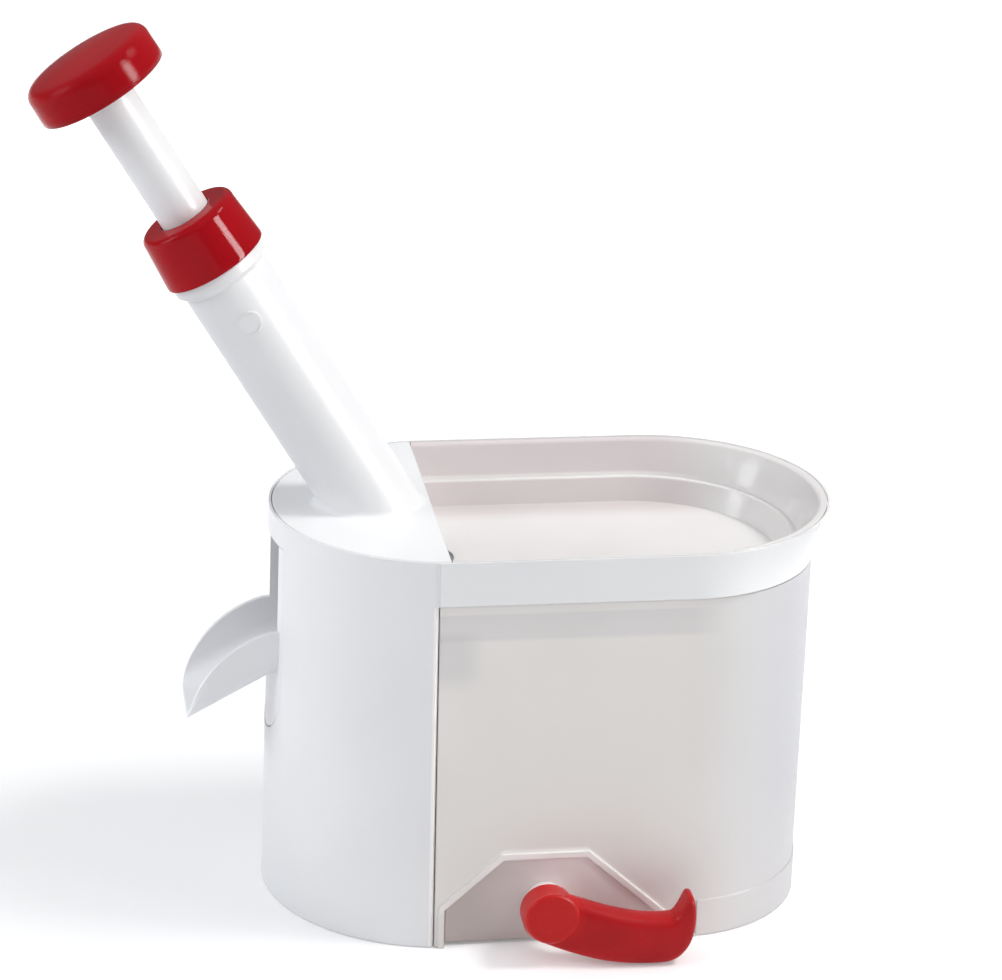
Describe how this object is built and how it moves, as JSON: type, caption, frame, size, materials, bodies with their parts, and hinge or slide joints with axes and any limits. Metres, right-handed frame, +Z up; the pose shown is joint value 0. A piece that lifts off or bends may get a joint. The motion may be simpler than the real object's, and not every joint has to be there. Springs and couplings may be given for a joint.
{
  "type": "cherry pitter",
  "caption": "Countertop cherry pitter: leaning spring plunger over a hopper tray, outlet chute, pull-out stone container and a suction foot locked by a small lever.",
  "frame": {"origin": "centre of the suction foot's ring face, on the worktop", "axes": "+X runs along the body from the plunger's tower to the stone container's round end, +Y to the back, away from the lever, +Z up"},
  "size_m": [0.2668, 0.1413, 0.3],
  "materials": {
    "white_plastic": "satin white moulded plastic",
    "chute_plastic": "satin light grey moulded plastic",
    "frosted_plastic": "frosted beige-grey plastic",
    "grey_plastic": "plain grey plastic of the inner pieces",
    "red_plastic": "glossy deep red translucent plastic",
    "rubber": "soft matt grey rubber",
    "steel": "plain stainless steel"
  },
  "bodies": {
    "body": {"housing": "white_plastic", "hopper_tray": "white_plastic", "tube_cover": "white_plastic", "guide_bush": "grey_plastic", "spring_washer": "steel", "stripper_plate": "grey_plastic", "cherry_seat": "white_plastic", "seat_gasket": "rubber", "outlet_chute": "chute_plastic", "return_spring": "steel"},
    "plunger": {"plunger_shaft": "white_plastic", "plunger_knob": "red_plastic", "pitting_rod": "steel", "rod_cross_pin": "steel"},
    "ring_nut": {"ring_nut": "red_plastic"},
    "container": {"stone_container": "frosted_plastic", "foot_housing": "frosted_plastic", "foot_screws": "steel", "suction_cup": "rubber"},
    "lever": {"suction_lever": "red_plastic", "lever_shaft": "steel", "shaft_clip": "steel"},
    "stem": {"lifting_stem": "grey_plastic"}
  },
  "joints": [
    {"name": "plunger_press", "type": "slide", "parent": "body", "child": "plunger", "axis": [0.5225, 0, -0.8526], "range_m": [0, 0.0476], "stiffness_N_per_m": 180, "springref_m": -0.03, "deforming": ["return_spring"]},
    {"name": "nut_twist", "type": "hinge", "parent": "body", "child": "ring_nut", "pos_m": [-0.0527, 0, 0.137], "axis": [-0.5225, 0, 0.8526], "range_deg": [0, 60]},
    {"name": "container_slide", "type": "slide", "parent": "body", "child": "container", "axis": [1, 0, 0], "range_m": [0, 0.132]},
    {"name": "lever_turn", "type": "hinge", "parent": "container", "child": "lever", "pos_m": [0, 0, 0.0155], "axis": [0, -1, 0], "range_deg": [0, 170]},
    {"name": "stem_lift", "type": "slide", "parent": "container", "child": "stem", "axis": [0, 0, 1], "range_m": [-0.003, 0], "deforming": ["suction_cup"]}
  ],
  "couplings": [
    {"joint": "stem_lift", "follows": "lever_turn", "m_per_rad": -0.000955}
  ]
}
